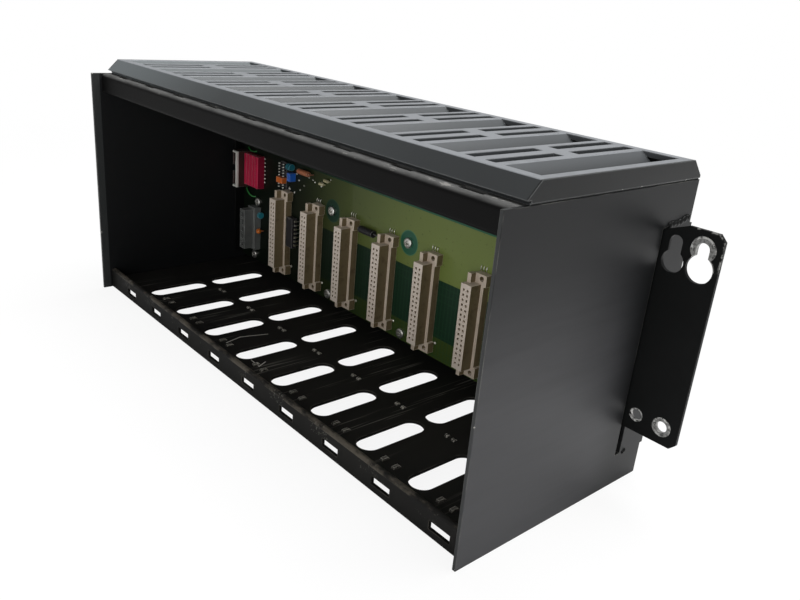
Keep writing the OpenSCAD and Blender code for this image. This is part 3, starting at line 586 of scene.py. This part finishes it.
def pan_head():
    """One screw along Y, its head towards -Y.  Rings go out over a domed head,
    down its side, in under it and along the shank.  The height over the head is
    the dome less the recess, a cross that is deep where a point lies near
    either arm's line and not past the arms' ends."""
    around = 48
    out = np.linspace(0.0, 1.0, 15)[1:]
    dome = HEAD_H * (0.62 + 0.38 * np.sqrt(1 - 0.98 * out**2.6))
    radius = np.concatenate([out * HEAD_R, [HEAD_R, SHANK_R, SHANK_R, SHANK_R * 0.6]])
    height = np.concatenate([dome, [0.0, 0.0, TIP_L - SHANK_L, -SHANK_L]])
    rings = turned_about_y(radius, height[:, None], around)
    across, up = abs(rings[..., 0]), abs(rings[..., 2])
    beside = np.clip((CROSS_HALF - np.minimum(across, up)) / CROSS_SIDE, 0, 1)
    within = np.clip((CROSS_ARM - np.maximum(across, up)) / CROSS_END, 0, 1)
    rings[: len(out), :, 1] += (CROSS_DEEP * beside * within)[: len(out)]
    return closed_skin((0.0, CROSS_DEEP - HEAD_H, 0.0), rings, (0.0, SHANK_L, 0.0))


def on_board(places):
    """Places in X and Z, brought to the board's face."""
    return [(x, BOARD_FACE, z) for x, z in places]


screws = [(x, z) for x in SCREW_COLUMNS for z in (SCREW_LOW, SCREW_HIGH)]
screws += [(LEFT_SCREW_X, SCREW_LOW), POWER_SCREW]
screws += [(RIGHT_SCREW_X, SCREW_LOW), (RIGHT_SCREW_X, SCREW_HIGH)]
pan_screws = add_piece(
    "pan_head_screws", *repeat_at(on_board(screws), pan_head()), zinc, "bare_steel"
)
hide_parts("board_screws")

# ---- Backplane board ------------------------------------------------------
# A fibreglass board with green solder mask.  The copper plane along the top
# shows through as olive, the tracks between the connectors run through a
# darker band, and a teal disc lies round each of the three upper screws.

BOARD_TOP = BOARD_HIGH[2]
PLANE_LOW, BAND_LOW = 0.0525, 0.0215
CONTACT_PITCH, TRACK_HALF = 0.00254, 0.00036
CROSS_PITCH, CROSS_TRACK_HALF = 0.00381, 0.0003
RING_R, RING_LINE = 0.0068, 0.0005
TOP_BORDER = 0.0014
# Painted shade darkens the mask towards the left: deepest up to the first of
# these places along X, and gone from the second one on
SHADE_DEEPEST_TO, SHADE_GONE_FROM = -0.1, 0.05


def solder_mask():
    """Olive over the plane, dark green over the band with faint tracks across
    it, a teal border along the top, and painted shade that darkens it towards
    the left."""
    mask = Finish("solder_mask", Specular_IOR_Level=0.2, Coat_Weight=0.08)
    cloud = mask.noise(30.0, 3.0)
    speck = mask.noise(420.0, 2.0, 0.6)
    height = mask.z + (cloud - 0.5) * 0.0008
    plane = height.over(PLANE_LOW)
    low = height.under(BAND_LOW)
    trace = mask.x.repeat(CONTACT_PITCH).under(TRACK_HALF)
    broken = mask.noise(90.0, 1.0, 0.5, (0.3, 1.0, 1.0)).over(0.5)
    cross = mask.z.repeat(CROSS_PITCH).under(CROSS_TRACK_HALF) * broken
    copper = trace.either(cross) * (1 - plane)
    body = mask.mix(plane, rgb(22, 50, 34), rgb(112, 126, 64))
    body = mask.mix(low, body, rgb(58, 74, 30))
    body = mask.mix(copper * 0.35, body, rgb(34, 72, 44))
    for x in SCREW_COLUMNS:
        across, up = mask.x - x, mask.z - SCREW_HIGH
        reach = (across * across + up * up).power(0.5)
        ring = reach.under(RING_R)
        body = mask.mix(ring, body, rgb(38, 92, 70))
        body = mask.mix(ring * reach.over(RING_R - RING_LINE), body, rgb(70, 122, 88))
    edge = mask.z.over(BOARD_TOP - TOP_BORDER)
    body = mask.mix(edge * 0.9, body, rgb(20, 92, 72))
    body = mask.mix(speck.over(0.66) * plane * 0.4, body, rgb(70, 84, 40))
    # Painted shade darkens the mask towards the left
    pale = mask.x.ramp(SHADE_DEEPEST_TO, SHADE_GONE_FROM)
    body = mask.mix(pale, rgb(7, 15, 7), body)
    return mask.wear(
        colour=body,
        roughness=0.4 + cloud * 0.15,
        normal=mask.bump(copper + speck * 0.2, 0.00003, 0.5),
    )


dress(solder_mask(), "backplane_board")

# ---- Card connectors ------------------------------------------------------
# Each two-row connector is moulded in glass filled polyester, pale beige on
# the face, with painted shade that makes it browner along the sides and a
# painted highlight on its corners.

connector_names = sorted(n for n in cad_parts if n.startswith("card_connector_"))
SOCKET_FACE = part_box(connector_names[0])[0][1]


def connector_plastic():
    """Beige on what faces along Y; painted shade turns what faces along X brown,
    with a darker mottle, and a painted highlight makes the corners pale."""
    body = Finish("connector_plastic", Specular_IOR_Level=0.35)
    cloud = body.noise(80.0, 3.0)
    side_mottle = body.noise(260.0, 3.0, 0.7)
    normal = body.node("ShaderNodeNewGeometry", {}, {}, "Normal")
    side = body.node("ShaderNodeSeparateXYZ", {}, [normal]).size().ramp(0.5, 0.9)
    face = body.y.under(SOCKET_FACE + 0.0006)
    tone = body.mix(cloud.ramp(0.3, 0.7), rgb(206, 192, 176), rgb(188, 172, 154))
    # Painted shade on what faces along X, with a darker mottle
    tone = body.mix(side, tone, rgb(112, 98, 72))
    tone = body.mix(side_mottle.ramp(0.5, 0.7) * side * 0.5, tone, rgb(74, 62, 44))
    tone = body.mix(face * (1 - side) * 0.5, tone, rgb(226, 214, 204))
    # Painted highlight on the corners
    tone = body.mix(body.edges(0.0005) * 0.8, tone, rgb(238, 222, 200))
    return body.wear(
        colour=tone,
        roughness=0.45 + cloud * 0.1,
        normal=body.bump(cloud, 0.00003, 0.4, 0.0002),
    )


dress(connector_plastic(), *connector_names)

# ---- Small parts on the board ---------------------------------------------
# Header, latch, ribbed block, power connector, jumpered pin header, logic
# chip, capacitors and resistors, each in its own moulded or coated finish.

RIB_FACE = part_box("ribbed_block")[0][1]
PIN_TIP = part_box("header_pins")[0][1]


def moulding(name, colour, deep, rough=0.5, groove=None):
    """A moulded or dipped part in two close colours, with a fine grain and paler
    corners.  Behind the groove's place along Y, painted shade darkens it to a
    deep red."""
    body = Finish(name)
    grain = body.noise(900.0, 2.0)
    cloud = body.noise(60.0, 3.0)
    edge = body.edges(0.0004)
    tone = body.mix(cloud.ramp(0.3, 0.7), colour, deep)
    tone = body.mix(edge * 0.25, tone, (0.9, 0.9, 0.88, 1.0))
    # Painted shade behind the given place along Y
    if groove:
        tone = body.mix(body.y.over(groove) * 0.6, tone, rgb(60, 4, 18))
    return body.wear(
        colour=tone,
        roughness=rough + grain * 0.12,
        normal=body.bump(grain, 0.00002, 0.5, 0.0002),
    )


def pin_metal():
    """Square brass pins, tarnished below, with a painted highlight that makes the
    tips near white and less metallic.
    """
    metal = Finish("pin_metal")
    cloud = metal.noise(400.0, 2.0)
    # Painted highlight on the tips
    tip = metal.y.under(PIN_TIP + 0.0008)
    return metal.wear(
        colour=metal.mix(tip, rgb(46, 42, 32), rgb(244, 242, 232)),
        roughness=0.35 + cloud * 0.2,
        metallic=0.8 - tip * 0.6,
    )


dress(moulding("header_plastic", rgb(52, 30, 24), rgb(40, 24, 20)), "ribbon_header")
dress(moulding("latch_plastic", rgb(214, 214, 208), rgb(190, 190, 182)), "header_latch")
# The ribbed block has painted shade in its grooves and along its sides, behind its ribs' front
# face
red = moulding(
    "ribbed_plastic", rgb(198, 16, 70), rgb(168, 10, 54), 0.35, groove=RIB_FACE + 0.0004
)
dress(red, "ribbed_block")
dress(moulding("power_plastic", rgb(100, 102, 100), rgb(80, 82, 80)), "power_connector")
black = moulding("black_moulding", rgb(24, 23, 26), rgb(32, 30, 32))
dress(black, "header_base", "logic_chip", "rectifier")
dress(pin_metal(), "header_pins")
dress(plated("tinned_brass", rgb(190, 184, 150), 0.35), "chip_legs")
dress(moulding("jumper_plastic", rgb(206, 104, 36), rgb(184, 88, 28)), "jumper_cap")
dress(moulding("blue_resin", rgb(40, 110, 206), rgb(30, 92, 186), 0.3), "box_capacitor")
dress(moulding("teal_resin", rgb(36, 128, 142), rgb(28, 104, 118), 0.3), "disc_capacitors")
dress(moulding("orange_resin", rgb(206, 112, 40), rgb(170, 86, 30), 0.3), "bead_capacitor")
dress(moulding("brown_cement", rgb(178, 112, 78), rgb(146, 88, 58)), "power_resistor")
dress(moulding("tan_coating", rgb(196, 188, 150), rgb(166, 158, 120)), "small_resistors")

# ---- Solder and pin ends on the board -------------------------------------
# Small domes of solder stand beside each connector, along the ribbed block and
# round the small parts, and three bare tinned leads stand above each connector.

SOCKETS = [np.mean(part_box(name), axis=0)[0] for name in connector_names]
BESIDE_SOCKET, PIN_END_Z = 0.0056, 0.0183
BLOCK_EDGE, BLOCK_ROW_LOW = -0.1258, 0.0649
PIN_END_R, PIN_END_H, JOINT_R = 0.0009, 0.0007, 0.0006
# Soldered joints round the small parts, in X and Z
PART_JOINTS = [
    (-0.1010, 0.0680), (-0.0965, 0.0675), (-0.0915, 0.0665), (-0.0895, 0.0785),
    (-0.0870, 0.0750), (-0.0855, 0.0695), (-0.0815, 0.0730), (-0.0765, 0.0790),
    (-0.0725, 0.0785), (-0.0705, 0.0775), (-0.0640, 0.0765), (-0.0635, 0.0790),
    (-0.0595, 0.0805), (-0.0550, 0.0825),
]
SOLDER_SUNK = 0.0001
tin = plated("bright_solder", rgb(214, 212, 200), 0.25)


def solder_dome(radius, tall):
    """A low dome on the board with its axis along Y: half an ellipse turned
    about the axis, and closed by a flat base just under the surface."""
    lift = np.radians([75.0, 50.0, 25.0, 0.0])
    across = np.append(np.cos(lift), 1.0) * radius
    above = np.append(np.sin(lift) * tall, -SOLDER_SUNK)
    rings = turned_about_y(across, above[:, None], 12)
    return closed_skin((0.0, -tall, 0.0), rings, (0.0, SOLDER_SUNK, 0.0))


pin_ends = on_board((x + BESIDE_SOCKET, PIN_END_Z) for x in SOCKETS)
pin_end = solder_dome(PIN_END_R, PIN_END_H)
add_piece("locating_pin_ends", *repeat_at(pin_ends, pin_end), tin, "tinned_metal")

joints = [(BLOCK_EDGE, BLOCK_ROW_LOW + CONTACT_PITCH * k) for k in range(7)]
joints = on_board(joints + PART_JOINTS)
joint = solder_dome(JOINT_R, JOINT_R)
add_piece("coding_pin_ends", *repeat_at(joints, joint), tin, "tinned_metal")


def heading_of(path):
    """The unit direction of a path at each of its points."""
    step = np.gradient(path, axis=0)
    return step / np.linalg.norm(step, axis=1)[:, None]


def skin_along(path, side, heading, radius, around, flat=1.0):
    """A closed skin round a path.  Each point has a ring of its radius: the
    cosine of the turn goes along the side direction, less where the skin is
    flat, and the sine goes at right angles to the side and the heading."""
    side = np.broadcast_to(side, path.shape)
    across = np.cross(side, heading)
    turn = (np.arange(around) * 2 * math.pi / around)[:, None]
    out = np.cos(turn) * side[:, None] * flat + np.sin(turn) * across[:, None]
    radius = np.broadcast_to(radius, len(path))[:, None, None]
    return closed_skin(path[0], path[:, None] + radius * out, path[-1])


LEAD_LONG, LEAD_R, LEAD_PROUD, LEAD_SUNK = 0.0026, 0.00022, 0.0007, 0.0002
LEAD_FOOT, LEAD_STEP = 0.0664, 0.0018


def bare_lead():
    """A thin upright wire whose ends are bent back into the board: a path that
    leaves the board, rises level with it, and goes back in."""
    along = np.linspace(0.0, 1.0, 17)
    bow = np.sin(math.pi * along) ** 0.35
    path = np.column_stack([0 * along, LEAD_SUNK - LEAD_PROUD * bow, LEAD_LONG * along])
    return skin_along(path, (1.0, 0.0, 0.0), heading_of(path), LEAD_R, 8)


leads = on_board((x + LEAD_STEP * (k - 1.5), LEAD_FOOT) for x in SOCKETS for k in range(3))
add_piece("bare_leads", *repeat_at(leads, bare_lead()), tin, "tinned_metal")

# ---- Green link wires -----------------------------------------------------
# Two thin links in green sleeving bow out of the board, one above the ribbed
# block and one below it.

LINK_R, LINK_WAVE = 0.00042, 0.0006
# Each link's name, its two ends in X and Z, and how far it bows out
LINKS = [
    ("upper_link_wire", (-0.1457, 0.0838), (-0.1359, 0.0832), 0.0022),
    ("lower_link_wire", (-0.1470, 0.0572), (-0.1366, 0.0530), 0.0026),
]


def link_wire(start, end, bow):
    """A sleeved wire from start to end on the board's face: its path bows out
    from the board by half a sine wave, and waves slowly sideways."""
    along = np.linspace(0.0, 1.0, 33)
    (x0, z0), (x1, z1) = start, end
    wave = LINK_WAVE * np.sin(2 * math.pi * along)
    out = BOARD_FACE - bow * np.sin(math.pi * along) ** 0.7
    path = np.column_stack([x0 + (x1 - x0) * along, out, z0 + (z1 - z0) * along + wave])
    heading = heading_of(path)
    side = np.cross(heading, (0.0, 0.0, 1.0))
    side = side / np.linalg.norm(side, axis=1)[:, None]
    return skin_along(path, side, heading, LINK_R, 10)


sleeving = moulding("green_sleeving", rgb(40, 120, 52), rgb(24, 92, 38), 0.4)
for name, start, end, bow in LINKS:
    add_piece(name, *link_wire(start, end, bow), sleeving, "circuit_board")

# ---- Weld beads -----------------------------------------------------------
# Where each ear leaves its slot the panel was welded again by hand, in a lumpy
# bead that runs back from the slot's top, and a short one at its foot.

# Each bead's two ends in Y and Z, its radius, and how many lumps it has
WELDS = [
    ((0.0375, 0.1124), (0.0525, 0.1145), 0.0014, 6),
    ((0.0405, 0.0136), (0.0425, 0.0151), 0.0008, 2),
]
WELD_WOBBLE, WELD_FLAT = 0.0003, 0.8


def weld_bead(face, start, end, radius, lumps):
    """A bead from start to end on a panel's face: its radius swells once for
    each lump and shrinks towards the ends, and its line wobbles a little."""
    along = np.linspace(0.0, 1.0, 12 * lumps + 1)
    swell = 0.78 + 0.22 * np.abs(np.sin(math.pi * lumps * along))
    taper = np.clip(np.sin(math.pi * (0.02 + 0.96 * along)) * 3.0, 0.0, 1.0) ** 0.5
    start, end = np.array([face, *start]), np.array([face, *end])
    span = end - start
    wobble = WELD_WOBBLE * np.sin(9.0 * along)[:, None] * np.array([0.0, 0.3, 1.0])
    path = start + along[:, None] * span + wobble
    heading = span / np.linalg.norm(span)
    return skin_along(
        path, (1.0, 0.0, 0.0), heading, radius * swell * taper, 14, WELD_FLAT
    )


weld_paint = black_paint(
    "weld_paint", rgb(5, 6, 6), rgb(9, 9, 9), gloss=0.35, chips=0.7, specular=0.12
)
for side, face in (("left", -PANEL_FACE), ("right", PANEL_FACE)):
    for number, weld in enumerate(WELDS):
        add_piece(f"{side}_weld_{number}", *weld_bead(face, *weld), weld_paint, "painted_steel")

# ---- Studio ---------------------------------------------------------------
# A pale floor and a white surround, with a broad lamp above and two weaker ones,
# at the right and in front.  The camera sees the floor as white but for the
# cage's soft shadow.

FLOOR_HALF, FLOOR_DROP = 6.0, 0.0002
FLOOR_WHITE = 0.9
WHITENS_FROM, WHITE_AT = 0.3, 0.9
WHITE = (1.0, 1.0, 1.0, 1.0)

square = np.array([[-1, -1], [1, -1], [1, 1], [-1, 1]]) * FLOOR_HALF
corners = np.column_stack([square, np.full(4, -FLOOR_DROP)])
floor_mesh = bpy.data.meshes.new("studio_floor")
floor_mesh.from_pydata(corners.tolist(), [], [(0, 1, 2, 3)])
studio_floor = bpy.data.objects.new("studio_floor", floor_mesh)
bpy.context.scene.collection.objects.link(studio_floor)


def pale_floor():
    """A mix of a diffuse surface, which takes the shadow, and white light that
    only the camera sees; far from the cage it is all white light."""
    floor = Finish("pale_floor", Specular_IOR_Level=0.0, Roughness=0.9)
    floor.shader.inputs["Base Color"].default_value = (0.9, 0.9, 0.9, 1.0)
    reach = (floor.x * floor.x + floor.y * floor.y).power(0.5).ramp(WHITENS_FROM, WHITE_AT)
    white = reach * (1 - FLOOR_WHITE) + FLOOR_WHITE
    seen = floor.node("ShaderNodeLightPath", {}, {}, "Is Camera Ray") * white
    glow = floor.node("ShaderNodeEmission", {}, {"Color": WHITE, "Strength": 1.0})
    diffuse = Wire(floor, floor.shader.outputs[0])
    blend = floor.node("ShaderNodeMixShader", {}, [seen, diffuse, glow])
    floor.feed(floor.tree.nodes["Material Output"].inputs["Surface"], blend)
    return floor.material


floor_mesh.materials.append(pale_floor())

# White for the camera, a grey surround for reflections, and a weak fill
SKY_GLOSSY = 0.42
SKY_FILL = 0.11
world = bpy.data.worlds.new("studio")
bpy.context.scene.world = world
world.use_nodes = True
sky = Nodes(world.node_tree)
camera_ray, glossy_ray, through_ray = (
    sky.node("ShaderNodeLightPath", {}, {}, kind)
    for kind in ("Is Camera Ray", "Is Glossy Ray", "Is Transmission Ray")
)
direct = camera_ray * (1.0 - SKY_FILL)
mirrored = glossy_ray.either(through_ray) * (SKY_GLOSSY - SKY_FILL)
background = sky.tree.nodes["Background"]
sky.feed(background.inputs["Color"], WHITE)
sky.feed(background.inputs["Strength"], direct.either(mirrored) + SKY_FILL)


def facing(side, up, look, place):
    """Placement of a lamp or camera: its three axes as columns, then its place."""
    columns = np.column_stack([side, up, -np.array(look), place])
    return Matrix(np.vstack([columns, (0.0, 0.0, 0.0, 1.0)]).tolist())


def lamp(name, place, aim, size, watts):
    """A square soft lamp at a place, turned towards the aim."""
    light = bpy.data.lights.new(name, "AREA")
    light.shape = "SQUARE"
    light.size = size
    light.energy = watts
    holder = bpy.data.objects.new(name, light)
    bpy.context.scene.collection.objects.link(holder)
    look = np.array(aim, float) - np.array(place, float)
    look = look / np.linalg.norm(look)
    side = np.cross(look, (0.0, 0.0, 1.0))
    side = side / np.linalg.norm(side)
    up = np.cross(side, look)
    holder.matrix_world = facing(side, up, look, place)
    holder.visible_camera = False


CAGE_MIDDLE = (0.0, 0.0, 0.05)
lamp("ceiling", (0.1, 0.35, 1.5), CAGE_MIDDLE, 1.0, 32.0)
lamp("side_fill", (1.2, 0.3, 0.6), CAGE_MIDDLE, 0.8, 2.6)
lamp("front_fill", (0.75, -1.1, 0.45), CAGE_MIDDLE, 0.6, 6.5)

# ---- Camera ---------------------------------------------------------------
# The camera stands to the right and in front of the cage, a little above it,
# and leans by five degrees, as a hand-held one does.

LENS_MM, SENSOR_MM = 34.713, 36.0
turn, lift, roll = (math.radians(a) for a in (47.30, 21.34, 5.14))
eye = np.array([0.2961, -0.2216, 0.1829])
ahead = np.array(
    [-math.sin(turn) * math.cos(lift), math.cos(turn) * math.cos(lift), -math.sin(lift)]
)
right = np.cross(ahead, (0.0, 0.0, 1.0))
right = right / np.linalg.norm(right)
upward = np.cross(right, ahead)
right, upward = (
    math.cos(roll) * right + math.sin(roll) * upward,
    -math.sin(roll) * right + math.cos(roll) * upward,
)
camera_data = bpy.data.cameras.new("camera")
camera_data.sensor_width = SENSOR_MM
camera_data.sensor_fit = "HORIZONTAL"
camera_data.lens = LENS_MM
camera_data.clip_start = 0.01
camera = bpy.data.objects.new("camera", camera_data)
bpy.context.scene.collection.objects.link(camera)
camera.matrix_world = facing(right, upward, ahead, eye)
bpy.context.scene.camera = camera
bpy.context.scene.view_settings.view_transform = "Standard"
